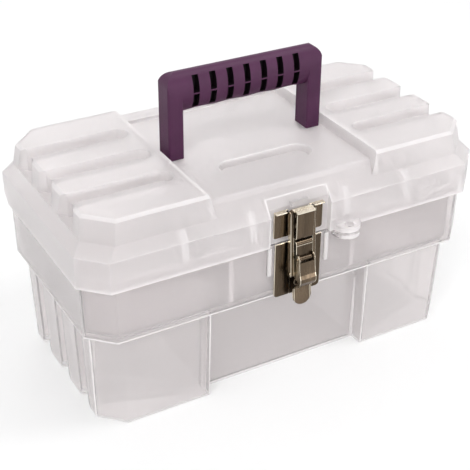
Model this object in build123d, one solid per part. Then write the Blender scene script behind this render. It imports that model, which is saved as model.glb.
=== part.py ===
"""Semi-clear craft and tool box with a lift-out tray, a moulded carrying handle and a steel draw latch.

Millimetres. X runs along the length, Y from front to back, Z up.
The origin is the middle of the rest face on the ground, so the front of the box is at -Y.
"""
from build123d import *
import math
import os

# Driving dimensions of the mouldings: half length, half width and corner cut at each level
LENGTH = 305.0
WIDTH = 160.0
WALL = 2.2
CORNER = 16.5

Z_STEP = 72.3
Z_LIP = 113.7
Z_RIM = 120.5
Z_SKIRT_TOP = 136.3
Z_BLOCK_FOOT = 143.5
Z_SLOPE_TOP = 150.5
Z_PLATEAU = 153.3
Z_TOP = 160.0

FOOT = (141.5, 70.0)
LOWER_TOP = (143.5, 72.0)
BAND_LOW = (148.6, 76.6)
BAND_TOP = (149.3, 76.9)
SKIRT = (LENGTH / 2, WIDTH / 2)
BLOCK_FOOT = (146.2, 74.4)
BLOCK_TOP = (143.7, 71.8)
SLOPE_TOP_Y = 69.0
PLATEAU_Y = 66.4

# Front and back panels between the corner pods, and the flutes of the end walls
POD_X = 62.0
PANEL_DEPTH = 11.5
FLUTE_PITCH = 35.0
FLUTE_MOUTH = 13.5
FLUTE_FLOOR = 8.0
FLUTE_DEPTH = 5.0
FLARE_HEIGHT = 6.5
FLARE_EXTRA = 3.6
PANEL_LEAN = 0.8
PANEL_DRAFT = 1.2
FOOT_ROUND = 2.6
STEP_ROUND = 1.2
RIM_NOTCH_X = 25.8
PLATE_RIB_X = 22.2
PLATE_RIB_THICK = 3.2
PLATE_RIB_Y = -78.6
PLATE_RIB_Z = (91.0, 112.3)
OUTSIDE = 12.0

# Lid top
BLOCK_IN_TOP = 63.4
BLOCK_IN_FOOT = 61.6
GROOVE_WIDTH = 14.9
GROOVE_FLOOR = 11.2
GROOVE_DEPTH = 6.2
GROOVE_END_X = 70.6
GROOVE_END_CUT = 5.4
RIDGE_END_CHAMFER = 3.0
BLOCK_CHAMFER = 1.9
RECESS_LENGTH = 70.0
RECESS_WIDTH = 19.5
RECESS_DEPTH = 4.6
RECESS_Y = -33.6
RAIL_Y = (57.0, 68.6)
RAIL_HEIGHT = 2.9
FIN_X = (36.0, 85.0)
FIN_WIDTH = 5.0
FIN_REACH = 2.9
FIN_OUT_Y = -78.6
FIN_TOP = (-67.0, -1.0)
POCKET_X = 23.2
POCKET_BACK_Y = -75.7
POCKET_BEND_Z = 140.0
POCKET_TOP = (-72.3, 146.3)
NUB_X = 6.4
NUB_FACE_Y = -77.7
NUB_Z = (138.9, 142.6)

# Padlock eye
EYE_X = 36.5
EYE_NOSE_R = 9.8
EYE_NOSE_Y = -79.2
EYE_HOLE_R = 3.4
EYE_HOLE_Y = -83.7
EYE_THICK = 3.6
EYE_GAP = 1.1
EYE_GUSSET_LOW = 100.0
EYE_GUSSET_OUT = 4.0
EYE_GUSSET_THICK = 3.0
FRONT_WALL_Y = -75.6

# Hinge at the back
HINGE_Y = 83.0
HINGE_Z = 117.0
HINGE_X = 78.0
KNUCKLE_R = 3.4
KNUCKLE_LEN = 8.0
KNUCKLE_GAP = 0.4
HINGE_PIN_R = 1.5
HINGE_RUN = 0.06
HINGE_FIT = 0.02
LID_BACK_Z = 121.2
RELIEF_Y = 64.0
RELIEF_RUN = 8.4
BRACKET_ROOT_Y = 76.0
BRACKET_DROP = 13.0
BRACKET_TOP = 2.4
STRAP_ROOT_Y = 78.6
STRAP_RISE = 18.0

# Lift-out tray
TRAY_FOOT = (144.6, 71.5)
TRAY_TOP = (145.3, 71.9)
TRAY_CORNER = 15.5
TRAY_WALL = 1.8
TRAY_TOP_Z = 113.0
TRAY_DIVIDER_X = (-48.0, 48.0)
TRAY_DIVIDER_Z = 108.0
TRAY_GRIP_X = 46.0
TRAY_GRIP_Z = 127.0
TRAY_GRIP_THICK = 3.0
TRAY_GRIP_ROUND = 10.0
TRAY_GRIP_BAR = 5.0
TRAY_FOOT_ROUND = 0.9
TRAY_SIT = 0.1
WALL_ROOT = 0.5
FINGER_HOLE = (62.0, 16.0)

# Handle
LEG_IN = 48.3
LEG_OUT = 59.4
HANDLE_DEPTH = 16.0
GRIP_Z = 199.4
GRIP_HALF = 14.2
CORNER_R = 9.0
LEG_ROUND = 1.6
LEG_INNER_CHAMFER = 0.9
SLOT_COUNT = 7
SLOT_PITCH = 12.85
SLOT_WIDTH = 4.5
SLOT_RIB = 1.3
SLOT_Z = (188.5, 210.7)
SLOT_WEB = 1.1
SCALLOP_COUNT = 4
SCALLOP_PITCH = 23.0
SCALLOP_DEPTH = 2.2
SCALLOP_CUSP = 0.5
SPIGOT = (7.6, 11.0)
SPIGOT_FIT = 0.15
SCREW_R = 1.9
SCREW_UP = 16.0
SCREW_HEAD_R = 3.9
SCREW_HEAD = 2.3
SCREW_HEAD_ROUND = 1.2
CROSS_SLOT = (4.2, 0.9, 2.4)
WASHER_R = 7.0
WASHER_THICK = 1.0

# Draw latch, pressed from sheet
SHEET = 0.8
BASE_X = 18.0
BASE_Z = (71.6, 113.3)
BASE_FACE_Y = -77.7
KEEPER_X = 18.8
KEEPER_Z = (117.2, 137.2)
KEEPER_FACE_Y = -76.5
KEEPER_LIP = 3.2
KEEPER_LIP_IN = 10.3
HOOK_X = 6.7
HOOK_FACE_Y = -85.3
HOOK_TOP_Z = 136.7
HOOK_BEND_R = 2.4
TONGUE_X = 6.4
TONGUE_TOP_Z = 115.9
LEVER_AXIS = (-86.3, 103.3)
LINK_R = 12.8
LINK_ANGLE = -74.0
PIN_R = 1.0
PIN_RUN = 0.06
PIN_FIT = 0.02
EAR_X = (5.0, 6.1)
EAR_R = 3.1
LEVER_SHEET = 1.0
TAB_LOW = 66.2
LEVER_PATH = [(-89.4, 101.9), (-89.8, 97.0), (-90.6, 92.6), (-91.6, 90.0), (-91.8, 87.4), (-90.4, 84.8),
              (-86.4, 81.4), (-84.4, 79.4), (-84.2, 76.6), (-84.9, 72.0), (-85.6, TAB_LOW)]
EAR_FRONT = [(-89.4, 86.2), (-90.9, 88.0), (-90.8, 90.0), (-89.9, 92.8), (-89.1, 97.0)]
LOOP_X = (7.3, 9.6)
LOOP_Y = (-82.2, -78.3)
LOOP_TOP_Z = 138.6
LOOP_REST_GAP = 0.85
LOOP_END_R = 2.0
TAB_X = 7.2
RIVET_R = 1.6
RIVET_FIT = 0.05
RIVET_HEAD_R = 2.9
RIVET_HEAD = 1.0
EDGE_EASE = 0.22
BURR_R = 3.6
BURR_THICK = 0.6
KEEPER_RIVET_Z = (122.6, 131.0)
BASE_RIVET_Z = (80.0, 96.0)


def octagon(half_x, half_y, corner, z):
    """One level of a moulding: a rectangle with its corners cut, at height z."""
    points = []
    for sx, sy in ((1, 1), (-1, 1), (-1, -1), (1, -1)):
        pair = [(sx * half_x, sy * (half_y - corner), z), (sx * (half_x - corner), sy * half_y, z)]
        points += pair if sx * sy > 0 else pair[::-1]
    return make_face(Polyline(*points, close=True))


def frustum(low, z_low, high, z_high, corner=CORNER, inset=0.0):
    """A solid between two levels, drawn in by inset on every side."""
    cut = corner - inset * (2 - math.sqrt(2))
    lower = octagon(low[0] - inset, low[1] - inset, cut, z_low)
    upper = octagon(high[0] - inset, high[1] - inset, cut, z_high)
    return loft([lower, upper], ruled=True)


def block(x, y, z):
    """A box given by its lowest and highest X, Y and Z."""
    size = (x[1] - x[0], y[1] - y[0], z[1] - z[0])
    middle = ((x[0] + x[1]) / 2, (y[0] + y[1]) / 2, (z[0] + z[1]) / 2)
    return Pos(*middle) * Box(*size)


def profile_yz(points, x):
    """A closed outline drawn in Y and Z, extruded over the range x."""
    face = make_face(Polyline(*[(x[0], y, z) for y, z in points], close=True))
    return extrude(face, amount=x[1] - x[0], dir=(1, 0, 0))


def prism_z(points, z):
    """A closed outline drawn in X and Y, extruded over the range z."""
    face = make_face(Polyline(*[(x, y, z[0]) for x, y in points], close=True))
    return extrude(face, amount=z[1] - z[0], dir=(0, 0, 1))


def profile_xz(points, y):
    """A closed outline drawn in X and Z, extruded over the range y."""
    face = make_face(Polyline(*[(x, y[0], z) for x, z in points], close=True))
    return extrude(face, amount=y[1] - y[0], dir=(0, 1, 0))


def rod_x(radius, x, y, z):
    """A round rod along X over the range x."""
    return Pos((x[0] + x[1]) / 2, y, z) * Rot(0, 90, 0) * Cylinder(radius, x[1] - x[0])


def rod_y(radius, y, x, z):
    """A round rod along Y over the range y."""
    return Pos(x, (y[0] + y[1]) / 2, z) * Rot(90, 0, 0) * Cylinder(radius, y[1] - y[0])


def rod_z(radius, z, x, y):
    """A round rod along Z over the range z."""
    return Pos(x, y, (z[0] + z[1]) / 2) * Cylinder(radius, z[1] - z[0])


def flutes(grow):
    """The three upright flutes in each end wall, flared at the foot; grow widens them for the inner face."""
    mouth = FLUTE_MOUTH / 2 + grow
    floor = FLUTE_FLOOR / 2 + grow * 0.8
    tools = []

    def level(side, y, z, wall_x, extra):
        outer = wall_x + OUTSIDE
        inner = wall_x - FLUTE_DEPTH - grow
        spread = (mouth - floor) / FLUTE_DEPTH * OUTSIDE
        corners = [(inner, -floor - extra), (outer, -mouth - spread - extra),
                   (outer, mouth + spread + extra), (inner, floor + extra)]
        return make_face(Polyline(*[(side * x, y + dy, z) for x, dy in corners], close=True))

    slope = (LOWER_TOP[0] - FOOT[0]) / Z_STEP
    z_low = -1.0 if grow == 0 else WALL
    for side in (-1, 1):
        for number in (-1, 0, 1):
            y = number * FLUTE_PITCH
            foot = level(side, y, z_low, FOOT[0], FLARE_EXTRA)
            waist = level(side, y, FLARE_HEIGHT, FOOT[0] + slope * FLARE_HEIGHT, 0)
            top = level(side, y, Z_STEP + grow, LOWER_TOP[0], 0)
            tools.append(loft([foot, waist], ruled=True))
            tools.append(loft([waist, top], ruled=True))
    return tools


def panels(grow):
    """The recesses between the corner pods at front and back; grow widens them for the inner face."""
    tools = []
    for side in (-1, 1):
        levels = []
        z_low = -1.0 if grow == 0 else WALL
        for z, wall_y, lean in ((z_low, FOOT[1], PANEL_LEAN), (Z_STEP + grow, LOWER_TOP[1], 0.0)):
            half = POD_X + lean + grow
            y_in = wall_y - PANEL_DEPTH - grow
            y_out = wall_y + OUTSIDE
            far = half + PANEL_DRAFT
            points = [(-half, y_in), (half, y_in), (far, y_out), (-far, y_out)]
            levels.append(make_face(Polyline(*[(x, side * y, z) for x, y in points], close=True)))
        tools.append(loft(levels, ruled=True))
    return tools


def make_tub():
    """The bottom moulding: pods and flutes below the step, a plain band above it."""
    lower = frustum(FOOT, 0, LOWER_TOP, Z_STEP)
    lower = fillet([e for e in lower.edges() if e.center().Z < 0.1], FOOT_ROUND)
    lower = lower - flutes(0) - panels(0)
    band = frustum(BAND_LOW, Z_STEP, BAND_TOP, Z_RIM)
    band = fillet([e for e in band.edges() if e.center().Z < Z_STEP + 0.1], STEP_ROUND)
    cavity = frustum(FOOT, WALL, LOWER_TOP, Z_STEP + WALL, inset=WALL)
    cavity = cavity - flutes(WALL) - panels(WALL)
    cavity += frustum(BAND_LOW, Z_STEP + WALL, BAND_TOP, Z_RIM + 1, inset=WALL)
    tub = lower + band - cavity

    # The rim is notched behind the lid's latch pocket
    tub -= block((-RIM_NOTCH_X, RIM_NOTCH_X), (-85, -70), (Z_LIP - 0.4, Z_RIM + 5))
    # Two ribs stand beside the latch plate
    for side in (-1, 1):
        half = PLATE_RIB_THICK / 2
        rib = block((-half, half), (PLATE_RIB_Y, FRONT_WALL_Y), PLATE_RIB_Z)
        rib = fillet(rib.edges().filter_by(Axis.Z), 0.9)
        tub += Pos(side * PLATE_RIB_X, 0, 0) * rib
    # Lower half of the padlock eye, with a gusset below it
    eye_top = Z_LIP - EYE_GAP
    tub += eye_tab(eye_top - EYE_THICK, eye_top, FRONT_WALL_Y)
    gusset_top = eye_top - EYE_THICK + 0.4
    gusset = profile_yz([(FRONT_WALL_Y, EYE_GUSSET_LOW), (FRONT_WALL_Y, gusset_top),
                         (FRONT_WALL_Y - EYE_GUSSET_OUT, gusset_top)],
                        (EYE_X - EYE_GUSSET_THICK / 2, EYE_X + EYE_GUSSET_THICK / 2))
    tub += gusset
    tub += hinge_knuckles((0, 2, 4), HINGE_PIN_R + HINGE_FIT, tub_side=True)
    for z in BASE_RIVET_Z:
        tub -= rod_y(RIVET_R + RIVET_FIT, (-80, -70), 0, z)
    return tub


def eye_tab(z_low, z_high, root_y):
    """A round-nosed tab for a padlock, standing out of the front wall."""
    nose = rod_z(EYE_NOSE_R, (z_low, z_high), EYE_X, EYE_NOSE_Y)
    root = block((EYE_X - EYE_NOSE_R, EYE_X + EYE_NOSE_R), (EYE_NOSE_Y, root_y), (z_low, z_high))
    front = block((EYE_X - 20, EYE_X + 20), (-100, root_y), (z_low - 1, z_high + 1))
    hole = rod_z(EYE_HOLE_R, (z_low - 1, z_high + 1), EYE_X, EYE_HOLE_Y)
    return (nose & front) + root - hole


def hinge_knuckles(places, hole_r, tub_side):
    """Every second knuckle of the two hinges; the tub's stand on brackets, the lid's hang on straps."""
    pitch = KNUCKLE_LEN + KNUCKLE_GAP
    pieces = []
    for centre in (-HINGE_X, HINGE_X):
        for place in places:
            middle = centre + (place - 2) * pitch
            x = (middle - KNUCKLE_LEN / 2, middle + KNUCKLE_LEN / 2)
            barrel = rod_x(KNUCKLE_R, x, HINGE_Y, HINGE_Z)
            if tub_side:
                top = HINGE_Z + BRACKET_TOP
                outline = [(BRACKET_ROOT_Y, HINGE_Z - BRACKET_DROP), (BRACKET_ROOT_Y, top), (HINGE_Y, top),
                           (HINGE_Y + KNUCKLE_R * 0.8, HINGE_Z - 1.6)]
            else:
                top = HINGE_Z + STRAP_RISE
                outline = [(HINGE_Y - 1.2, HINGE_Z + 1), (HINGE_Y + KNUCKLE_R, HINGE_Z),
                           (HINGE_Y + 1.6, top - 3), (STRAP_ROOT_Y, top),
                           (STRAP_ROOT_Y, LID_BACK_Z + 0.2), (STRAP_ROOT_Y + 2, LID_BACK_Z)]
            arm = profile_yz(outline, x)
            pieces.append(barrel + arm - rod_x(hole_r, (x[0] - 1, x[1] + 1), HINGE_Y, HINGE_Z))
    return pieces


def grooves(grow):
    """The six finger grooves that run over the lid's end blocks and down its end faces."""
    mouth = GROOVE_WIDTH / 2 + grow
    floor = GROOVE_FLOOR / 2 + grow
    floor_z = Z_TOP - GROOVE_DEPTH - grow
    end_x = BLOCK_TOP[0] - GROOVE_END_CUT - grow
    foot_z = Z_BLOCK_FOOT + 0.9 - grow * 0.4
    far_x = LENGTH / 2 + 17.5
    spread = (mouth - floor) * (far_x - end_x) / (BLOCK_TOP[0] - end_x)
    chamfer_x = BLOCK_TOP[0] - RIDGE_END_CHAMFER - grow * (math.sqrt(2) - 1)
    flare = far_x - chamfer_x
    round_x = GROOVE_END_X + GROOVE_WIDTH / 2
    middle = (round_x + far_x) / 2
    run = loft([Pos(middle, 0, floor_z) * SlotCenterToCenter(far_x - round_x, 2 * floor),
                Pos(middle, 0, Z_TOP + 0.3) * SlotCenterToCenter(far_x - round_x, 2 * mouth + 0.2)])
    drop = prism_z([(end_x, -floor), (far_x, -floor - spread), (far_x, floor + spread), (end_x, floor)],
                   (foot_z, Z_TOP + 4))
    end = prism_z([(chamfer_x, -mouth), (far_x, -mouth - flare), (far_x, mouth + flare), (chamfer_x, mouth)],
                  (foot_z, Z_TOP + 4))
    end &= block((end_x + 0.02, far_x), (-FLUTE_PITCH / 2, FLUTE_PITCH / 2), (foot_z, Z_TOP + 4))
    right = run + drop + end
    tools = []
    for tool in (right, mirror(right, about=Plane.YZ)):
        tools += [Pos(0, number * FLUTE_PITCH, 0) * tool for number in (-1, 0, 1)]
    return tools


def lid_blocks(inset):
    """The raised blocks over each end of the lid, drawn in by inset."""
    whole = frustum(BLOCK_FOOT, Z_BLOCK_FOOT - 0.6, BLOCK_TOP, Z_TOP - inset, inset=inset)
    if inset == 0:
        whole = chamfer([e for e in whole.edges() if e.center().Z > Z_TOP - 0.1], BLOCK_CHAMFER)
    x_top = BLOCK_IN_TOP + inset
    x_foot = BLOCK_IN_FOOT + inset
    lean = (BLOCK_IN_TOP - BLOCK_IN_FOOT) / (Z_TOP - Z_PLATEAU)
    z_deep = Z_BLOCK_FOOT - 2
    outline = [(x_foot - lean * (Z_PLATEAU - z_deep), z_deep), (x_foot, Z_PLATEAU), (x_top, Z_TOP + 0.01),
               (170, Z_TOP + 0.01), (170, z_deep)]
    right = whole & profile_xz(outline, (-90, 90))
    left = mirror(right, about=Plane.YZ)
    return [left, right]


def lid_centre(inset):
    """The lower plateau between the blocks, with one long slope to front and back."""
    run = SKIRT[1] - SLOPE_TOP_Y
    rise = Z_SLOPE_TOP - Z_SKIRT_TOP
    shift = inset * math.hypot(run, rise) / rise
    half = BLOCK_IN_FOOT + 1.0 + inset * 2
    foot_z = Z_SKIRT_TOP - 0.5
    foot_y = SKIRT[1] + 0.5 * run / rise - shift
    slope_top = (-(SLOPE_TOP_Y - shift), Z_SLOPE_TOP)
    side = [(-foot_y, foot_z), slope_top, (-(PLATEAU_Y - inset * 0.6), Z_PLATEAU - inset)]
    if inset:
        side[1] = (slope_top[0] - 0.9, slope_top[1] - 1.2)
    points = side + [(-y, z) for y, z in reversed(side)]
    centre = profile_yz(points, (-half, half))
    if inset == 0:
        crests = [e for e in centre.edges().filter_by(Axis.X) if e.center().Z > Z_SLOPE_TOP - 0.1]
        centre = fillet(crests, 2.5)
    return centre


def finger_recess(grow):
    """The long round-ended dip in front of the handle."""
    straight = RECESS_LENGTH / 2 - RECESS_WIDTH / 2
    floor_z = Z_PLATEAU - RECESS_DEPTH - grow
    rim = Pos(0, RECESS_Y, Z_PLATEAU + 0.2) * SlotCenterToCenter(2 * straight, RECESS_WIDTH + 2 * grow)
    floor = Pos(0, RECESS_Y, floor_z) * SlotCenterToCenter(2 * straight, RECESS_WIDTH - 3.4 + 2 * grow)
    return loft([floor, rim])


def lid_fins():
    """Upright fins inside the skirt that stand on the tub's rim."""
    z_foot = Z_RIM + 0.1
    inner = SKIRT[1] - WALL - FIN_REACH
    top_y = FIN_TOP[0]
    top_z = Z_SLOPE_TOP + FIN_TOP[1]
    outline = [(FIN_OUT_Y, z_foot), (-inner, z_foot), (-inner, Z_SKIRT_TOP - 3.4), (top_y - 0.6, top_z - 5.2),
               (top_y, top_z), (top_y - 2.6, top_z - 1.6), (FIN_OUT_Y, Z_SKIRT_TOP - 0.6)]
    pieces = []
    for x in FIN_X:
        for side in (-1, 1):
            fin = profile_yz(outline, (side * x - FIN_WIDTH / 2, side * x + FIN_WIDTH / 2))
            pieces += [fin, mirror(fin, about=Plane.XZ)]
    return pieces


def make_lid():
    """The top moulding: skirt, slope, grooved end blocks and the plateau that carries the handle."""
    skirt = frustum(SKIRT, Z_LIP, SKIRT, Z_SKIRT_TOP)
    slope = frustum(SKIRT, Z_SKIRT_TOP, BLOCK_FOOT, Z_BLOCK_FOOT)
    shell = skirt + slope + lid_blocks(0) + lid_centre(0)
    rail_half = BLOCK_IN_FOOT + 0.5
    shell += block((-rail_half, rail_half), RAIL_Y, (Z_PLATEAU - 1, Z_PLATEAU + RAIL_HEIGHT))
    shell = shell - grooves(0) - finger_recess(0)
    shell -= lid_pocket(0)

    hollow = frustum(SKIRT, Z_LIP - 1, SKIRT, Z_SKIRT_TOP - 0.9, inset=WALL)
    hollow += frustum(SKIRT, Z_SKIRT_TOP - 0.9, BLOCK_FOOT, Z_BLOCK_FOOT - 0.6, inset=WALL)
    hollow += lid_blocks(WALL)
    hollow += lid_centre(WALL)
    hollow = hollow - grooves(WALL) - finger_recess(WALL)
    hollow -= lid_pocket(WALL)
    lid = shell - hollow

    lid += [fin & block((-160, 160), (-79.2, 79.2), (Z_RIM, Z_TOP)) for fin in lid_fins()]
    # The back skirt is cut away above the hinge, with relieved corners
    back = profile_yz([(RELIEF_Y - RELIEF_RUN, Z_LIP - 1), (RELIEF_Y, LID_BACK_Z), (90, LID_BACK_Z),
                       (90, Z_LIP - 1)], (-160, 160))
    lid -= back
    eye_low = Z_LIP + 0.1
    lid += eye_tab(eye_low, eye_low + EYE_THICK, FIN_OUT_Y)
    lid += hinge_knuckles((1, 3), HINGE_PIN_R + HINGE_RUN, tub_side=False)
    for side in (-1, 1):
        x = side * (LEG_IN + LEG_OUT) / 2
        lid -= Pos(x, 0, Z_PLATEAU) * Box(SPIGOT[0] + 2 * SPIGOT_FIT, SPIGOT[1] + 2 * SPIGOT_FIT, 8)
    nub = block((-NUB_X, NUB_X), (NUB_FACE_Y, POCKET_BACK_Y + 1), NUB_Z)
    lid += fillet([e for e in nub.edges().filter_by(Axis.Z) if e.center().Y < NUB_FACE_Y + 0.1], 0.8)
    for z in KEEPER_RIVET_Z:
        lid -= rod_y(RIVET_R + RIVET_FIT, (-80, -70), 0, z)
    return lid


def lid_pocket(grow):
    """The pocket in the front of the lid that holds the latch keeper."""
    back_y = POCKET_BACK_Y + grow
    top_y = POCKET_TOP[0] + grow
    top_z = POCKET_TOP[1] + (4 if grow else 0)
    far_y = -95
    outline = [(far_y, Z_LIP - 3), (back_y, Z_LIP - 3), (back_y, POCKET_BEND_Z), (top_y, POCKET_TOP[1])]
    if grow:
        outline.append((top_y, top_z))
    outline.append((far_y, top_z))
    return profile_yz(outline, (-POCKET_X - grow, POCKET_X + grow))


def make_tray():
    """The lift-out tray that hangs on the step inside the tub."""
    foot_z = Z_STEP + WALL + TRAY_SIT
    tray = frustum(TRAY_FOOT, foot_z, TRAY_TOP, TRAY_TOP_Z, corner=TRAY_CORNER)
    tray = fillet([e for e in tray.edges() if e.center().Z < foot_z + 0.1], TRAY_FOOT_ROUND)
    inside = frustum(TRAY_FOOT, foot_z + TRAY_WALL, TRAY_TOP, TRAY_TOP_Z + 1, TRAY_CORNER, TRAY_WALL)
    tray -= inside
    root_z = foot_z + WALL_ROOT
    inside_top = frustum(TRAY_FOOT, root_z, TRAY_TOP, TRAY_TOP_Z, TRAY_CORNER, TRAY_WALL / 2)
    half = TRAY_GRIP_THICK / 2
    walls = block((-TRAY_TOP[0], TRAY_TOP[0]), (-TRAY_WALL / 2, TRAY_WALL / 2), (root_z, TRAY_DIVIDER_Z))
    for x in TRAY_DIVIDER_X:
        walls += block((x - TRAY_WALL / 2, x + TRAY_WALL / 2), (-TRAY_TOP[1], TRAY_TOP[1]),
                       (root_z, TRAY_DIVIDER_Z))
    tray += walls & inside_top
    # The grip rises out of the middle wall, with a hole for the fingers
    grip = block((-TRAY_GRIP_X, TRAY_GRIP_X), (-half, half), (root_z, TRAY_GRIP_Z))
    corners = [e for e in grip.edges().filter_by(Axis.Y) if e.center().Z > TRAY_GRIP_Z - 1]
    grip = fillet(corners, TRAY_GRIP_ROUND)
    hole_z = TRAY_GRIP_Z - TRAY_GRIP_BAR - FINGER_HOLE[1] / 2
    hole = Pos(0, 0, hole_z) * Box(FINGER_HOLE[0], 20, FINGER_HOLE[1])
    hole = fillet(hole.edges().filter_by(Axis.Y), FINGER_HOLE[1] / 2 - 0.2)
    return tray + grip - hole


def make_handle():
    """The carrying handle: two square legs and a rounded grip with slots and finger scallops."""
    half = HANDLE_DEPTH / 2
    top = GRIP_Z + GRIP_HALF
    outline = block((-LEG_OUT, LEG_OUT), (-half, half), (Z_PLATEAU, top))
    outline = fillet([e for e in outline.edges().filter_by(Axis.Y) if e.center().Z > top - 1], CORNER_R)
    span = 2 * LEG_OUT + 10
    oval = extrude(Plane.YZ * Ellipse(half, GRIP_HALF), amount=span / 2, both=True)
    oval = Pos(0, 0, GRIP_Z) * oval
    crown = oval + block((-span / 2, span / 2), (-half, half), (Z_PLATEAU - 5, GRIP_Z))
    plan = block((-LEG_OUT, LEG_OUT), (-half, half), (Z_PLATEAU - 5, top + 5))
    plan = fillet(plan.edges().filter_by(Axis.Z), LEG_ROUND)
    legs = (outline & crown & plan) - block((-LEG_IN, LEG_IN), (-20, 20), (Z_PLATEAU - 5, top + 5))
    inner = [e for e in legs.edges().filter_by(Axis.Z)
             if abs(abs(e.center().X) - LEG_IN) < 0.1 and abs(abs(e.center().Y) - half) < 0.1]
    legs = chamfer(inner, LEG_INNER_CHAMFER)

    bar = oval & block((-LEG_IN - 2, LEG_IN + 2), (-half - 1, half + 1), (GRIP_Z - 20, GRIP_Z + 20))
    rise = SCALLOP_DEPTH - SCALLOP_CUSP
    radius = ((SCALLOP_PITCH / 2) ** 2 + rise ** 2) / (2 * rise)
    low = GRIP_Z - GRIP_HALF
    for number in range(SCALLOP_COUNT):
        x = (number - (SCALLOP_COUNT - 1) / 2) * SCALLOP_PITCH
        bar -= rod_y(radius, (-20, 20), x, low + SCALLOP_DEPTH - radius)
    handle = legs + bar

    middle = GRIP_Z - 0.7
    for number in range(SLOT_COUNT):
        x = (number - (SLOT_COUNT - 1) / 2) * SLOT_PITCH
        for z in ((SLOT_Z[0], middle - SLOT_WEB / 2), (middle + SLOT_WEB / 2, SLOT_Z[1])):
            for side in (-1, 1):
                y = sorted((side * (half + 1), side * SLOT_RIB))
                handle -= block((x - SLOT_WIDTH / 2, x + SLOT_WIDTH / 2), y, z)
    for side in (-1, 1):
        x = side * (LEG_IN + LEG_OUT) / 2
        handle += Pos(x, 0, Z_PLATEAU - WALL / 2 + 0.05) * Box(SPIGOT[0], SPIGOT[1], WALL - 0.1)
        handle -= rod_z(SCREW_R + 0.02, (Z_PLATEAU - WALL - 1, Z_PLATEAU + SCREW_UP), x, 0)
    return handle


def make_handle_screws():
    """One screw up into each leg of the handle."""
    screws = []
    for side in (-1, 1):
        x = side * (LEG_IN + LEG_OUT) / 2
        seat = Z_PLATEAU - WALL - WASHER_THICK - 0.1
        shank = rod_z(SCREW_R, (seat - 0.5, Z_PLATEAU + SCREW_UP - 1), x, 0)
        head = rod_z(SCREW_HEAD_R, (seat - SCREW_HEAD, seat - 0.02), x, 0)
        head = fillet([e for e in head.edges() if e.center().Z < seat - SCREW_HEAD + 0.1], SCREW_HEAD_ROUND)
        long, narrow, deep = CROSS_SLOT
        cross = Pos(x, 0, seat - SCREW_HEAD) * (Box(long, narrow, deep) + Box(narrow, long, deep))
        screws.append(shank + head - cross)
    return screws


def make_handle_washers():
    """The washers that spread each handle screw's load under the lid."""
    washers = []
    for side in (-1, 1):
        x = side * (LEG_IN + LEG_OUT) / 2
        top = Z_PLATEAU - WALL - 0.05
        ring = rod_z(WASHER_R, (top - WASHER_THICK, top), x, 0)
        washers.append(ring - rod_z(SCREW_R + 0.25, (top - 5, top + 5), x, 0))
    return washers


def eased(solid, x_half=None, y_face=None):
    """Takes the sharpness off the edges of a pressed part, at its two sides or round its front face."""
    edges = []
    for edge in solid.edges():
        middle = edge.center()
        at_side = x_half is not None and abs(abs(middle.X) - x_half) < 0.001
        at_face = y_face is not None and abs(middle.Y - y_face) < 0.001
        if at_side or at_face:
            edges.append(edge)
    return chamfer(edges, EDGE_EASE)


def strip(path, x_half, thick):
    """Sheet bent along a path in Y and Z, thick to one side of it, and 2 x_half wide."""
    outline = [Vector(0, y, z) for y, z in path]
    offset = []
    count = len(outline)
    for index, point in enumerate(outline):
        before = outline[index] - outline[index - 1] if index else outline[1] - outline[0]
        after = outline[index + 1] - point if index < count - 1 else outline[-1] - outline[-2]
        normals = [Vector(0, -d.Z, d.Y).normalized() for d in (before, after)]
        mid = (normals[0] + normals[1]).normalized()
        offset.append(point + mid * (thick / max(0.35, mid.dot(normals[0]))))
    closed = [(p.Y, p.Z) for p in outline] + [(p.Y, p.Z) for p in reversed(offset)]
    return profile_yz(closed, (-x_half, x_half))


def bend(centre, radius, start, end, steps=6):
    """Points round a bend in Y and Z, angles in degrees from +Y towards +Z."""
    angles = [math.radians(start + (end - start) * i / steps) for i in range(steps + 1)]
    return [(centre[0] + radius * math.cos(a), centre[1] + radius * math.sin(a)) for a in angles]


def link_pin_place():
    """Where the loop's pin sits on the lever, in Y and Z."""
    angle = math.radians(LINK_ANGLE)
    return (LEVER_AXIS[0] + LINK_R * math.cos(angle), LEVER_AXIS[1] + LINK_R * math.sin(angle))


def make_keeper():
    """The keeper on the lid: a plate with folded lips and a hook turned up in front."""
    back_y = KEEPER_FACE_Y + SHEET
    plate = block((-KEEPER_X, KEEPER_X), (KEEPER_FACE_Y, back_y), KEEPER_Z)
    plate = fillet([e for e in plate.edges().filter_by(Axis.Y) if e.center().Z < KEEPER_Z[0] + 0.1], 2.0)
    plate = eased(plate, y_face=KEEPER_FACE_Y)
    gap = KEEPER_LIP_IN - 2.2
    plate -= block((-gap, gap), (-90, -70), (KEEPER_Z[1] - 2.6, KEEPER_Z[1] + 5))
    keeper = plate
    for side in (-1, 1):
        x = sorted((side * KEEPER_LIP_IN, side * KEEPER_X))
        lip_y = (KEEPER_FACE_Y - KEEPER_LIP, back_y)
        lip = block(x, lip_y, (KEEPER_Z[1] - SHEET, KEEPER_Z[1]))
        lip = fillet([e for e in lip.edges().filter_by(Axis.Z) if e.center().Y < lip_y[0] + 0.1], 0.8)
        keeper += eased(lip, y_face=lip_y[0])
    low = KEEPER_Z[0]
    path = [(KEEPER_FACE_Y + 0.2, low), (HOOK_FACE_Y + HOOK_BEND_R, low)]
    path += bend((HOOK_FACE_Y + HOOK_BEND_R, low + HOOK_BEND_R), HOOK_BEND_R, 270, 180)[1:]
    path += [(HOOK_FACE_Y, HOOK_TOP_Z)]
    keeper += eased(strip(path, HOOK_X, -SHEET), x_half=HOOK_X)
    for z in KEEPER_RIVET_Z:
        keeper -= rod_y(RIVET_R + RIVET_FIT, (-79, -70), 0, z)
    return keeper


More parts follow.
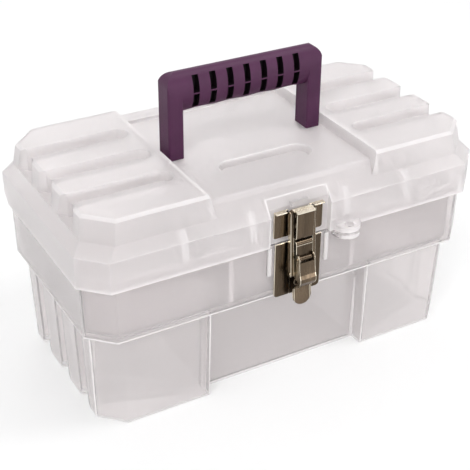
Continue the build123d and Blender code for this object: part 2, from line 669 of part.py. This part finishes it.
def make_base_plate():
    """The plate on the tub, with a tongue folded forward and rolled round the lever's pin."""
    back_y = BASE_FACE_Y + SHEET
    plate = block((-BASE_X, BASE_X), (BASE_FACE_Y, back_y), BASE_Z)
    plate = fillet([e for e in plate.edges().filter_by(Axis.Y) if e.center().Z < BASE_Z[0] + 0.1], 3.0)
    plate = eased(plate, y_face=BASE_FACE_Y)
    ring = PIN_R + PIN_RUN + SHEET
    y_front = LEVER_AXIS[0] + 1.0
    fold_r = 2.2
    top = TONGUE_TOP_Z
    path = [(back_y, top - fold_r - 2)]
    path += bend((back_y - fold_r, top - fold_r), fold_r, 0, 90)
    path += bend((y_front + fold_r, top - fold_r), fold_r, 90, 180)
    path += [(y_front - 0.4, LEVER_AXIS[1] + 0.9)]
    tongue = eased(strip(path, TONGUE_X, SHEET), x_half=TONGUE_X)
    inner = EAR_X[0] - 0.3
    notch_z = (LEVER_AXIS[1] - 5, LEVER_AXIS[1] + EAR_R + 0.4)
    for side in (-1, 1):
        tongue -= block(sorted((side * inner, side * 12)), (-95, -81), notch_z)
    roll = rod_x(ring, (-inner, inner), *LEVER_AXIS)
    plate = plate + tongue + roll
    plate -= rod_x(PIN_R + PIN_FIT, (-10, 10), *LEVER_AXIS)
    for z in BASE_RIVET_Z:
        plate -= rod_y(RIVET_R + RIVET_FIT, (-79, -70), 0, z)
    return plate


def make_lever():
    """The thumb lever: a pressed strip with two ears on the pins and a round tab below."""
    pin_y, pin_z = link_pin_place()
    axis_y, axis_z = LEVER_AXIS
    sheet = strip(LEVER_PATH, TAB_X, LEVER_SHEET)
    neck = LEVER_PATH[7][1] + 0.8
    round_end = rod_y(TAB_X, (-120, -60), 0, TAB_LOW + TAB_X)
    keep = block((-EAR_X[1], EAR_X[1]), (-120, -60), (neck - 0.2, 110))
    keep += block((-TAB_X, TAB_X), (-120, -60), (TAB_LOW + TAB_X, neck)) + round_end
    lever = sheet & keep
    outline = bend((axis_y, axis_z), EAR_R, 200, 10, 8)
    outline += [(pin_y + 2.2, pin_z + 3.0), (pin_y + 2.2, pin_z - 0.6), (pin_y + 1.0, pin_z - 2.2),
                (pin_y - 1.4, pin_z - 2.8)] + EAR_FRONT
    for side in (-1, 1):
        lever += profile_yz(outline, sorted((side * EAR_X[0], side * EAR_X[1])))
    lever -= rod_x(PIN_R + PIN_RUN, (-12, 12), *LEVER_AXIS)
    lever -= rod_x(PIN_R + PIN_FIT, (-12, 12), pin_y, pin_z)
    return lever


def make_loop():
    """The draw loop: two straight arms on the lever's lower pin and a top that closes over the hook."""
    pin_y, pin_z = link_pin_place()
    y_front, y_back = LOOP_Y
    bar_y = (y_front + y_back) / 2
    shoulder = LOOP_TOP_Z - 4
    run = Vector(0, bar_y - pin_y, shoulder - pin_z).normalized()
    side_step = Vector(0, run.Z, -run.Y) * LOOP_END_R
    low = Vector(0, pin_y, pin_z)
    start = math.degrees(math.atan2(-side_step.Z, -side_step.Y))
    foot = [(y_front, shoulder + 0.4), (y_front, shoulder), (low.Y - side_step.Y, low.Z - side_step.Z)]
    foot += bend((pin_y, pin_z), LOOP_END_R, start, start + 180, 10)[1:-1]
    foot += [(low.Y + side_step.Y, low.Z + side_step.Z), (y_back, shoulder), (y_back, shoulder + 0.4)]
    loop = None
    for side in (-1, 1):
        arm = eased(profile_yz(foot, sorted((side * LOOP_X[0], side * LOOP_X[1]))), x_half=LOOP_X[1])
        loop = arm if loop is None else loop + arm
    web_low = HOOK_TOP_Z + LOOP_REST_GAP
    top = block((-LOOP_X[1], LOOP_X[1]), (y_front, y_back), (LOOP_TOP_Z - 4.2, LOOP_TOP_Z))
    top = fillet([e for e in top.edges().filter_by(Axis.Y) if e.center().Z > LOOP_TOP_Z - 1], 2.4)
    top = chamfer([e for e in top.edges().filter_by(Axis.X) if e.center().Z > LOOP_TOP_Z - 1
                   and e.center().Y > y_front + 1], 1.0)
    loop += top
    loop -= block((-LOOP_X[0], LOOP_X[0]), (y_front - 1, y_back + 1), (LOOP_TOP_Z - 9, web_low))
    web_half = LOOP_X[0] - 0.3
    web = block((-web_half, web_half), (HOOK_FACE_Y - 0.9, y_front + 0.5), (web_low, LOOP_TOP_Z - 0.1))
    loop += fillet([e for e in web.edges().filter_by(Axis.Z) if e.center().Y < HOOK_FACE_Y], 1.2)
    return loop - rod_x(PIN_R + PIN_RUN, (-12, 12), pin_y, pin_z)


def make_lever_pin():
    """The pin of the lever, held in the base plate's rolled tongue."""
    return rod_x(PIN_R, (-EAR_X[1] - 0.6, EAR_X[1] + 0.6), *LEVER_AXIS)


def make_loop_pin():
    """The pin of the loop, held in the lever's ears, with a flat head outside each arm."""
    y, z = link_pin_place()
    pin = rod_x(PIN_R, (-LOOP_X[1] - 0.5, LOOP_X[1] + 0.5), y, z)
    for side in (-1, 1):
        x = sorted((side * (LOOP_X[1] + 0.1), side * (LOOP_X[1] + 0.7)))
        pin += rod_x(PIN_R + 0.6, x, y, z)
    return pin


def make_rivets(face_y, inner_y, heights):
    """Rivets through a latch plate and the wall behind it, headed outside and closed inside."""
    rivets = []
    for z in heights:
        shank = rod_y(RIVET_R, (face_y - 0.2, inner_y + BURR_THICK + 0.4), 0, z)
        head = rod_y(RIVET_HEAD_R, (face_y - RIVET_HEAD, face_y - 0.02), 0, z)
        head = fillet([e for e in head.edges() if e.center().Y < face_y - RIVET_HEAD + 0.1], 0.6)
        tail = rod_y(RIVET_R + 0.7, (inner_y + BURR_THICK + 0.06, inner_y + BURR_THICK + 0.56), 0, z)
        rivets.append(shank + head + tail)
    return rivets


def make_burrs(inner_y, heights):
    """The small washers under the closed ends of the rivets, inside the box."""
    burrs = []
    for z in heights:
        ring = rod_y(BURR_R, (inner_y + 0.04, inner_y + 0.04 + BURR_THICK), 0, z)
        burrs.append(ring - rod_y(RIVET_R + RIVET_FIT, (inner_y - 5, inner_y + 5), 0, z))
    return burrs


def make_hinge_pin(centre):
    """A plain steel rod through one hinge's five knuckles."""
    half = 2.5 * KNUCKLE_LEN + 2 * KNUCKLE_GAP + 0.6
    return rod_x(HINGE_PIN_R, (centre - half, centre + half), HINGE_Y, HINGE_Z)


def main():
    """Builds every piece and writes one STEP file for each node."""
    tub_inner_y = -(BAND_LOW[1] + (BAND_TOP[1] - BAND_LOW[1]) * 0.2) + WALL + 0.06
    lid_inner_y = POCKET_BACK_Y + WALL
    nodes = {
        "tub": make_tub(),
        "lid": make_lid(),
        "lift_out_tray": make_tray(),
        "carrying_handle": make_handle(),
        "handle_screws": make_handle_screws(),
        "handle_washers": make_handle_washers(),
        "latch_keeper": make_keeper(),
        "latch_base_plate": make_base_plate(),
        "latch_lever": make_lever(),
        "latch_draw_loop": make_loop(),
        "latch_lever_pin": make_lever_pin(),
        "latch_loop_pin": make_loop_pin(),
        "keeper_rivets": make_rivets(KEEPER_FACE_Y, lid_inner_y, KEEPER_RIVET_Z),
        "keeper_rivet_washers": make_burrs(lid_inner_y, KEEPER_RIVET_Z),
        "base_plate_rivets": make_rivets(BASE_FACE_Y, tub_inner_y, BASE_RIVET_Z),
        "base_plate_rivet_washers": make_burrs(tub_inner_y, BASE_RIVET_Z),
        "hinge_pin_left": make_hinge_pin(-HINGE_X),
        "hinge_pin_right": make_hinge_pin(HINGE_X),
    }
    os.makedirs("parts", exist_ok=True)
    for name, shape in nodes.items():
        if isinstance(shape, list):
            shape = Compound(children=[s if isinstance(s, Solid) else s.solids()[0] for s in shape])
        export_step(shape, f"parts/{name}.step")


main()
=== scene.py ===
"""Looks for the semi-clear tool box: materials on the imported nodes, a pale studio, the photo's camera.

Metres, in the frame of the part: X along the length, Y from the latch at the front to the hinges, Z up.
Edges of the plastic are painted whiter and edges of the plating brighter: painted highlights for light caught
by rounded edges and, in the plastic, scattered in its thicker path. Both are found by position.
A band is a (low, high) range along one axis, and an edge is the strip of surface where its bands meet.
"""

import bpy
from mathutils import Matrix, Vector

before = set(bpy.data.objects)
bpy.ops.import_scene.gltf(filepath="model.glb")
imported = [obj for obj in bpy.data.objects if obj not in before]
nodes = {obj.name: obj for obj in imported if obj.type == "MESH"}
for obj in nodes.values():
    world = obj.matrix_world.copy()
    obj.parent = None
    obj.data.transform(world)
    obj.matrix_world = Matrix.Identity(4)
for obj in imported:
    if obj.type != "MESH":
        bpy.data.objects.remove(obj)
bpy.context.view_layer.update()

# Ranges that a value has before it is mapped: a mask, and the middle of a noise, where most of it lies
MASK = (0.0, 1.0)
NOISE = (0.3, 0.7)

# Semi-clear plastic: its colour, the shade of its cloudy patches and its refraction
MILK = (0.990, 0.960, 0.962)
CLOUD_SHADE = 0.985
PLASTIC_IOR = 1.30

# Handle plastic: its colour, how dust lightens it, the painted shade inside its slots and its sheen
PURPLE = (0.058, 0.011, 0.046)
DUST_GAIN = 1.18
DUST_VEIL = 0.003
SLOT_PAINTED_SHADE = (0.005, 0.002, 0.004)
PURPLE_SPECULAR = 0.32

# Plating: the colours, the shade of the dull patches, the grain's scale along each axis, and the roughness.
# A rolled sheet's grain is drawn out along Z
NICKEL = (0.165, 0.122, 0.084)
PIN_NICKEL = (0.34, 0.28, 0.21)
ZINC = (0.62, 0.64, 0.67)
# Painted highlight colour for the latch's edges
PAINTED_EDGE_HIGHLIGHT = (0.80, 0.73, 0.60)
DULL_SHADE = 0.55
ROLLED = (1, 1, 0.04)
UNDRAWN = (1, 1, 1)
NICKEL_ROUGH = 0.24
ZINC_ROUGH = 0.32

# Further out than any surface of the box
FAR = 1.0

# The bands below mark the edges of the tub, lid and tray that are painted whiter as highlights
# Tub: the foot, the step over the pods, the rim, the pods' corners, the latch's ribs and the padlock eye
FOOT_Z = (0.0003, 0.0020)
STEP_Z = (0.0719, 0.0741)
RIM_Z = (0.1196, FAR)
STEP_HEIGHT = 0.0723
BELOW_STEP_Z = (0.0, STEP_HEIGHT)
ABOVE_STEP_Z = (0.0741, 0.1137)
POD_CORNER_X = (0.0607, 0.0638)
POD_CORNER_Y = (0.0694, 0.0740)
PANEL_CORNER_X = (0.0607, 0.0640)
PANEL_CORNER_Y = (0.0578, 0.0600)
POD_END_X = (0.1395, FAR)
POD_END_Y = (0.0530, 0.0542)
POD_DRAFT = 0.0020
POD_LEAN = POD_DRAFT / STEP_HEIGHT
UPPER_END_X = (0.1480, FAR)
UPPER_END_Y = (0.0598, 0.0607)
PLATE_RIB_X = (0.0204, 0.0240)
PLATE_RIB_Y = (-FAR, -0.0772)
PLATE_RIB_Z = (0.0905, 0.1128)
EYE_X = (0.0290, 0.0440)
TUB_EYE_Y = (-FAR, -0.0780)
TUB_EYE_Z = (0.0980, 0.1118)

# Lid: the lip, the padlock eye, the skirt and its corners, the blocks, the latch's pocket and the fins
LIP_Z = (0.0, 0.1150)
LID_EYE_Y = (-FAR, -0.0790)
LID_EYE_Z = (0.1060, 0.1200)
SKIRT_TOP_Z = (0.1359, 0.1366)
SKIRT_Z = (0.0, 0.1363)
SKIRT_END_X = (0.1515, FAR)
SKIRT_END_Y = (0.0631, 0.0640)
SKIRT_SIDE_X = (0.1355, 0.1364)
SKIRT_SIDE_Y = (0.0785, FAR)
BLOCK_RIM_Z = (0.1581, 0.15995)
BLOCK_INNER_X = (0.0630, 0.0658)
BLOCK_INNER_Z = (0.1581, FAR)
BLOCK_CORNER_X = (0.0620, 0.0637)
BLOCK_CORNER_Y = (0.0690, 0.0750)
BLOCK_CORNER_Z = (0.1440, 0.1581)
POCKET_SIDE_X = (0.0224, 0.0242)
POCKET_SIDE_Y = (-FAR, -0.0720)
POCKET_SIDE_Z = (0.0, 0.1465)
POCKET_TOP_X = (0.0, 0.0242)
POCKET_TOP_Y = (-FAR, -0.0700)
POCKET_TOP_Z = (0.1457, 0.1468)
FIN_X = (0.0360, 0.0850)
FIN_HALF = 0.0025
FIN_Y = (0.0690, FAR)
FIN_Z = (0.1232, 0.1425)

# Recess in the lid's plateau: the plateau's height, half the recess's straight part, its middle, how far from
# its middle line the rim round it lies, and how strongly the painted highlight on that rim counts
PLATEAU_Z = (0.1515, 0.1545)
RECESS_STRAIGHT = 0.02525
RECESS_Y = -0.0336
RECESS_RIM = (0.0092, 0.0107)
RECESS_STRENGTH = 0.7

# Tray: its rim, the tops of its dividers, the top of its grip, and where the dividers meet its wall
TRAY_RIM_Z = (0.1121, 0.1131)
DIVIDER_TOP_Z = (0.1073, 0.1081)
GRIP_TOP_Z = (0.1262, FAR)
DIVIDER_X = (0.0462, 0.0498)
DIVIDER_END_Y = (0.0680, FAR)

# Handle slots: half the length of a row, the two rows, the distance between slots and half their width
SLOT_ROW_X = (0.0, 0.0412)
SLOT_ROWS_Z = ((0.18845, 0.19817), (0.19923, 0.21075))
SLOT_PITCH = 0.01285
SLOT_HALF = 0.00228

# Edges of the latch painted bright as highlights for light caught by their rounded bends: the keeper and its
# hook, the base plate and its tongue, the lever's tab and ears, and the loop outside and inside
KEEPER_X = ((0.01850, FAR), (0.00645, 0.00672))
KEEPER_Z = ((0.13680, FAR), (0.0, 0.11750))
BASE_X = ((0.01772, FAR), (0.00614, 0.00642))
BASE_Z = ((0.11300, 0.11332), (0.0, 0.07186))
LEVER_X = ((0.00694, FAR), (0.00584, 0.00612))
LOOP_X = ((0.00932, FAR), (0.0, 0.00752))

# Studio
WHITE = (1.0, 1.0, 1.0, 1.0)
FLOOR_SIZE = 6.0
FLOOR_COLOUR = (0.93, 0.93, 0.93, 1.0)
FLOOR_WHITE = 0.35
WORLD_LEVEL = 0.62
LAMP_TARGET = (0.0, 0.0, 0.10)

# Lamps: name, place, side of the square and power in watts
LAMPS = (
    ("key", (-0.9, -0.9, 1.5), 0.7, 13),
    ("top", (0.75, -0.45, 1.35), 0.5, 6),
    ("back", (0.2, 1.0, 1.3), 0.9, 5),
    ("front", (0.75, -1.45, 0.32), 0.55, 3.2),
)

# The photograph's camera, worked out from the corners of the box: its axes, its place and its lens.
# The focal length is in pixels of the photo, the sensor's width in millimetres
CAMERA_RIGHT = (0.87146, -0.49041, 0.00794)
CAMERA_UP = (0.24743, 0.45353, 0.85620)
CAMERA_BACK = (-0.42349, -0.74418, 0.51658)
CAMERA_PLACE = (-0.35517, -0.61662, 0.50439)
FOCAL_LENGTH = 1139.06
PHOTO_WIDTH = 470
SENSOR_WIDTH = 36.0
CLIP_START = 0.01


def new_material(name):
    """A new node material, its node tree and its shader."""
    material = bpy.data.materials.new(name)
    material.use_nodes = True
    tree = material.node_tree
    shader = next(n for n in tree.nodes if n.type == "BSDF_PRINCIPLED")
    return material, tree, shader


def add(tree, kind, **settings):
    """A new node with its settings."""
    node = tree.nodes.new(kind)
    for key, value in settings.items():
        setattr(node, key, value)
    return node


def position(tree):
    """X, Y and Z of a point of the surface, in the object's own space."""
    place = add(tree, "ShaderNodeTexCoord")
    parts = add(tree, "ShaderNodeSeparateXYZ")
    tree.links.new(place.outputs["Object"], parts.inputs["Vector"])
    return parts.outputs


def noise(tree, scale, detail, stretch=UNDRAWN):
    """Noise in object space, scale in cells per metre. An axis with a small stretch draws it out."""
    place = add(tree, "ShaderNodeTexCoord")
    mapping = add(tree, "ShaderNodeMapping")
    mapping.inputs["Scale"].default_value = stretch
    texture = add(tree, "ShaderNodeTexNoise")
    texture.inputs["Scale"].default_value = scale
    texture.inputs["Detail"].default_value = detail
    tree.links.new(place.outputs["Object"], mapping.inputs["Vector"])
    tree.links.new(mapping.outputs["Vector"], texture.inputs["Vector"])
    return texture.outputs["Fac"]


def span(tree, source, low, high, reach=NOISE):
    """Maps a value from its reach to the range from low to high, and holds it there."""
    node = add(tree, "ShaderNodeMapRange")
    node.inputs["From Min"].default_value = reach[0]
    node.inputs["From Max"].default_value = reach[1]
    node.inputs["To Min"].default_value = low
    node.inputs["To Max"].default_value = high
    tree.links.new(source, node.inputs["Value"])
    return node.outputs["Result"]


def maths(tree, operation, first, second=None):
    """One maths node; the second value is a socket or a number."""
    node = add(tree, "ShaderNodeMath", operation=operation)
    tree.links.new(first, node.inputs[0])
    if isinstance(second, float):
        node.inputs[1].default_value = second
    elif second is not None:
        tree.links.new(second, node.inputs[1])
    return node.outputs["Value"]


def between(tree, value, band):
    """1 where a value lies in a band, 0 elsewhere."""
    low, high = band
    above = maths(tree, "GREATER_THAN", value, low)
    below = maths(tree, "LESS_THAN", value, high)
    return maths(tree, "MULTIPLY", above, below)


def mixed_colour(tree, factor, first, second):
    """Two colours mixed by a factor; the first is a colour or a socket."""
    node = add(tree, "ShaderNodeMix", data_type="RGBA")
    if isinstance(first, tuple):
        node.inputs["A"].default_value = (*first, 1)
    else:
        tree.links.new(first, node.inputs["A"])
    node.inputs["B"].default_value = (*second, 1)
    tree.links.new(factor, node.inputs["Factor"])
    return node.outputs["Result"]


def roughness(tree, shader, texture, rough, less, more):
    """Roughness that a noise varies, from less below a value to more above it."""
    tree.links.new(span(tree, texture, rough - less, rough + more), shader.inputs["Roughness"])


def bump(tree, shader, height, strength, distance):
    """Fine relief on a shader."""
    node = add(tree, "ShaderNodeBump")
    node.inputs["Strength"].default_value = strength
    node.inputs["Distance"].default_value = distance
    tree.links.new(height, node.inputs["Height"])
    tree.links.new(node.outputs["Normal"], shader.inputs["Normal"])


def edge(strength, x=None, y=None, z=None, signed="", lean=0.0):
    """The strip of surface where the given bands meet, and how strongly it counts, up to 1.

    A band counts on both sides of the middle, except along the axes in signed. lean moves the Y band
    outwards with height, as a drafted wall goes.
    """
    bands = [(axis, band) for axis, band in (("X", x), ("Y", y), ("Z", z)) if band]
    return strength, bands, signed, lean


def edge_mask(tree, edges):
    """The strength of the edge that a point of the surface is on, 0 elsewhere."""
    place = position(tree)
    mask = None
    for strength, bands, signed, lean in edges:
        inside = None
        for axis, band in bands:
            value = place[axis]
            if axis not in signed:
                value = maths(tree, "ABSOLUTE", value)
            if lean and axis == "Y":
                value = maths(tree, "SUBTRACT", value, maths(tree, "MULTIPLY", place["Z"], lean))
            within = between(tree, value, band)
            inside = within if inside is None else maths(tree, "MULTIPLY", inside, within)
        if strength < 1:
            inside = maths(tree, "MULTIPLY", inside, strength)
        mask = inside if mask is None else maths(tree, "MAXIMUM", mask, inside)
    return mask


def recess_rim(tree):
    """The strength of the painted highlight on the rim round the plateau's recess, a slot with round ends, 0
    elsewhere.
    """
    place = position(tree)
    past_straight = maths(tree, "SUBTRACT", maths(tree, "ABSOLUTE", place["X"]), RECESS_STRAIGHT)
    along = maths(tree, "MAXIMUM", past_straight, 0.0)
    across = maths(tree, "SUBTRACT", place["Y"], RECESS_Y)
    along_squared = maths(tree, "MULTIPLY", along, along)
    across_squared = maths(tree, "MULTIPLY", across, across)
    distance = maths(tree, "SQRT", maths(tree, "ADD", along_squared, across_squared))
    ring = between(tree, distance, RECESS_RIM)
    return maths(tree, "MULTIPLY", ring, edge_mask(tree, [edge(RECESS_STRENGTH, z=PLATEAU_Z)]))


def frosted(name, edges, clear, edge_clear, rough, rim=None):
    """Semi-clear natural polypropylene: milky and lightly grained, with its thick edges painted whiter as a
    highlight.

    clear and edge_clear are the shares of light that pass through walls and edges.
    """
    material, tree, shader = new_material(name)
    cloud = noise(tree, scale=26, detail=2)
    grain = noise(tree, scale=1500, detail=2)
    cloudy = tuple(c * CLOUD_SHADE for c in MILK)
    shade = mixed_colour(tree, span(tree, cloud, 0, 1), MILK, cloudy)
    # Painted highlight: edges and the recess rim let less light through, so they show whiter
    mask = edge_mask(tree, edges)
    if rim:
        mask = maths(tree, "MAXIMUM", mask, rim(tree))
    through = span(tree, mask, clear, edge_clear, reach=MASK)
    tree.links.new(shade, shader.inputs["Base Color"])
    tree.links.new(through, shader.inputs["Transmission Weight"])
    shader.inputs["IOR"].default_value = PLASTIC_IOR
    roughness(tree, shader, cloud, rough, less=0.03, more=0.04)
    bump(tree, shader, grain, strength=0.10, distance=0.0002)
    return material


def slot_shade_mask(tree):
    """1 inside the slots of the grip, which repeat along the handle in two rows, where shade is painted."""
    beside = maths(tree, "PINGPONG", position(tree)["X"], SLOT_PITCH / 2)
    inside = maths(tree, "LESS_THAN", beside, SLOT_HALF)
    rows = edge_mask(tree, [edge(1.0, x=SLOT_ROW_X, z=row) for row in SLOT_ROWS_Z])
    return maths(tree, "MULTIPLY", inside, rows)


def moulded(name, colour, rough):
    """Opaque moulded plastic with a fine matte grain, with shade painted inside the slots of the grip."""
    material, tree, shader = new_material(name)
    grain = noise(tree, scale=2200, detail=3)
    cloud = noise(tree, scale=60, detail=3)
    dusty = tuple(c * DUST_GAIN + DUST_VEIL for c in colour)
    shade = mixed_colour(tree, span(tree, cloud, 0, 1), colour, dusty)
    # Painted shade inside the slots of the grip
    shade = mixed_colour(tree, slot_shade_mask(tree), shade, SLOT_PAINTED_SHADE)
    tree.links.new(shade, shader.inputs["Base Color"])
    shader.inputs["Specular IOR Level"].default_value = PURPLE_SPECULAR
    roughness(tree, shader, grain, rough, less=0.06, more=0.06)
    bump(tree, shader, grain, strength=0.22, distance=0.0003)
    return material


def plated(name, colour, rough, drawn, edges=()):
    """Plated steel sheet with rolling lines and cloudy polish, and painted highlights along its edges."""
    material, tree, shader = new_material(name)
    grain = noise(tree, scale=900, detail=2, stretch=drawn)
    cloud = noise(tree, scale=150, detail=2, stretch=drawn)
    dull = tuple(c * DULL_SHADE for c in colour)
    shade = mixed_colour(tree, span(tree, cloud, 0, 1), colour, dull)
    # Painted highlight along the edges
    if edges:
        shade = mixed_colour(tree, edge_mask(tree, edges), shade, PAINTED_EDGE_HIGHLIGHT)
    tree.links.new(shade, shader.inputs["Base Color"])
    shader.inputs["Metallic"].default_value = 1.0
    roughness(tree, shader, grain, rough, less=0.05, more=0.09)
    bump(tree, shader, grain, strength=0.10, distance=0.00012)
    return material


def latch_metal(name, painted_shade_level, highlight_x, highlight_z=()):
    """The latch's nickel for one pressed part, at a painted brightness of its own, with painted highlights on
    its edges.
    """
    colour = tuple(c * painted_shade_level for c in NICKEL)
    edges = [edge(1.0, x=band) for band in highlight_x] + [edge(1.0, z=band) for band in highlight_z]
    return plated(name, colour, NICKEL_ROUGH, ROLLED, edges)


def dress(names, material):
    """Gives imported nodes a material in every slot."""
    for name in names:
        for slot in nodes[name].material_slots:
            slot.material = material


def seen_directly(tree):
    """1 for what the camera sees, also in metal and through plastic, 0 for the light on the object."""
    path = add(tree, "ShaderNodeLightPath")
    mirrored = maths(tree, "MAXIMUM", path.outputs["Is Camera Ray"], path.outputs["Is Glossy Ray"])
    return maths(tree, "MAXIMUM", mirrored, path.outputs["Is Transmission Ray"])


def make_floor():
    """A pale floor that shows whiter than it is lit and keeps the object's shadow."""
    half = FLOOR_SIZE / 2
    corners = [(-half, -half, 0), (half, -half, 0), (half, half, 0), (-half, half, 0)]
    mesh = bpy.data.meshes.new("studio_floor")
    mesh.from_pydata(corners, [], [(0, 1, 2, 3)])
    floor = bpy.data.objects.new("studio_floor", mesh)
    bpy.context.scene.collection.objects.link(floor)
    material, tree, shader = new_material("studio_paper")
    shader.inputs["Base Color"].default_value = FLOOR_COLOUR
    shader.inputs["Roughness"].default_value = 0.9
    shader.inputs["Specular IOR Level"].default_value = 0.1
    glow = add(tree, "ShaderNodeEmission")
    glow.inputs["Color"].default_value = WHITE
    mix = add(tree, "ShaderNodeMixShader")
    tree.links.new(maths(tree, "MULTIPLY", seen_directly(tree), FLOOR_WHITE), mix.inputs["Fac"])
    tree.links.new(shader.outputs["BSDF"], mix.inputs[1])
    tree.links.new(glow.outputs["Emission"], mix.inputs[2])
    output = next(n for n in tree.nodes if n.type == "OUTPUT_MATERIAL")
    tree.links.new(mix.outputs["Shader"], output.inputs["Surface"])
    mesh.materials.append(material)


def make_world():
    """Soft even light from all round, shown white to the camera, in metal and through plastic."""
    world = bpy.data.worlds.new("studio")
    bpy.context.scene.world = world
    world.use_nodes = True
    tree = world.node_tree
    back = next(n for n in tree.nodes if n.type == "BACKGROUND")
    back.inputs["Color"].default_value = WHITE
    strength = span(tree, seen_directly(tree), WORLD_LEVEL, 1.0, reach=MASK)
    tree.links.new(strength, back.inputs["Strength"])


def area_light(name, place, size, power):
    """A soft square lamp that looks at the middle of the box."""
    lamp = bpy.data.lights.new(name, "AREA")
    lamp.shape = "SQUARE"
    lamp.size = size
    lamp.energy = power
    holder = bpy.data.objects.new(name, lamp)
    holder.location = place
    direction = Vector(LAMP_TARGET) - Vector(place)
    holder.rotation_euler = direction.to_track_quat("-Z", "Y").to_euler()
    bpy.context.scene.collection.objects.link(holder)


def make_camera():
    """The photograph's camera."""
    data = bpy.data.cameras.new("photo_camera")
    data.sensor_fit = "HORIZONTAL"
    data.sensor_width = SENSOR_WIDTH
    data.lens = FOCAL_LENGTH / PHOTO_WIDTH * SENSOR_WIDTH
    data.clip_start = CLIP_START
    camera = bpy.data.objects.new("photo_camera", data)
    camera.matrix_world = Matrix([*zip(CAMERA_RIGHT, CAMERA_UP, CAMERA_BACK, CAMERA_PLACE), (0, 0, 0, 1)])
    bpy.context.scene.collection.objects.link(camera)
    bpy.context.scene.camera = camera


# Edges of the plastic painted whiter as highlights, each with how strongly it counts
tub_highlight_edges = [
    edge(0.8, z=FOOT_Z),
    edge(0.8, z=STEP_Z),
    edge(1.0, z=RIM_Z),
    edge(0.8, x=POD_CORNER_X, y=POD_CORNER_Y, z=BELOW_STEP_Z),
    edge(0.8, x=PANEL_CORNER_X, y=PANEL_CORNER_Y, z=BELOW_STEP_Z),
    edge(0.7, x=POD_END_X, y=POD_END_Y, z=BELOW_STEP_Z, lean=POD_LEAN),
    edge(0.3, x=UPPER_END_X, y=UPPER_END_Y, z=ABOVE_STEP_Z),
    edge(0.6, x=PLATE_RIB_X, y=PLATE_RIB_Y, z=PLATE_RIB_Z, signed="Y"),
    edge(0.6, x=EYE_X, y=TUB_EYE_Y, z=TUB_EYE_Z, signed="XY"),
]
lid_highlight_edges = [
    edge(0.8, z=LIP_Z),
    edge(0.5, x=EYE_X, y=LID_EYE_Y, z=LID_EYE_Z, signed="XY"),
    edge(0.45, z=SKIRT_TOP_Z),
    edge(0.4, x=SKIRT_END_X, y=SKIRT_END_Y, z=SKIRT_Z),
    edge(0.2, x=SKIRT_SIDE_X, y=SKIRT_SIDE_Y, z=SKIRT_Z),
    edge(0.5, z=BLOCK_RIM_Z),
    edge(0.65, x=BLOCK_INNER_X, z=BLOCK_INNER_Z),
    edge(0.5, x=BLOCK_CORNER_X, y=BLOCK_CORNER_Y, z=BLOCK_CORNER_Z),
    edge(0.8, x=POCKET_SIDE_X, y=POCKET_SIDE_Y, z=POCKET_SIDE_Z, signed="Y"),
    edge(0.7, x=POCKET_TOP_X, y=POCKET_TOP_Y, z=POCKET_TOP_Z, signed="Y"),
]
lid_highlight_edges += [edge(0.5, x=(x - FIN_HALF, x + FIN_HALF), y=FIN_Y, z=FIN_Z) for x in FIN_X]
tray_highlight_edges = [
    edge(0.8, z=TRAY_RIM_Z),
    edge(0.8, z=DIVIDER_TOP_Z),
    edge(0.8, z=GRIP_TOP_Z),
    edge(1.0, x=DIVIDER_X, y=DIVIDER_END_Y),
]

# The roughness of a plastic never crosses 0.27, where a denoised picture would show scribbles
dress(["tub"], frosted("frosted_tub", tub_highlight_edges, clear=0.82, edge_clear=0.18, rough=0.17))
dress(["lid"], frosted("frosted_lid", lid_highlight_edges, clear=0.70, edge_clear=0.30, rough=0.32, rim=recess_rim))
dress(["lift_out_tray"], frosted("frosted_tray", tray_highlight_edges, clear=0.74, edge_clear=0.10, rough=0.33))
dress(["carrying_handle"], moulded("purple_moulding", PURPLE, rough=0.50))
# Each latch part's nickel is darkened or brightened by its level as painted shade, for how it catches the
# light
dress(["latch_keeper"], latch_metal("nickel_keeper", painted_shade_level=0.80, highlight_x=KEEPER_X, highlight_z=KEEPER_Z))
dress(["latch_base_plate"], latch_metal("nickel_base", painted_shade_level=0.58, highlight_x=BASE_X, highlight_z=BASE_Z))
dress(["latch_lever"], latch_metal("nickel_lever", painted_shade_level=1.00, highlight_x=LEVER_X))
dress(["latch_draw_loop"], latch_metal("nickel_loop", painted_shade_level=0.85, highlight_x=LOOP_X))
dress(["latch_lever_pin", "latch_loop_pin", "keeper_rivets", "base_plate_rivets"],
      plated("nickel_plain", PIN_NICKEL, NICKEL_ROUGH, ROLLED))
dress(["handle_screws", "handle_washers", "keeper_rivet_washers", "base_plate_rivet_washers",
       "hinge_pin_left", "hinge_pin_right"], plated("zinc_steel", ZINC, ZINC_ROUGH, UNDRAWN))

make_floor()
make_world()
for lamp_row in LAMPS:
    area_light(*lamp_row)
make_camera()
bpy.context.scene.view_settings.view_transform = "Standard"
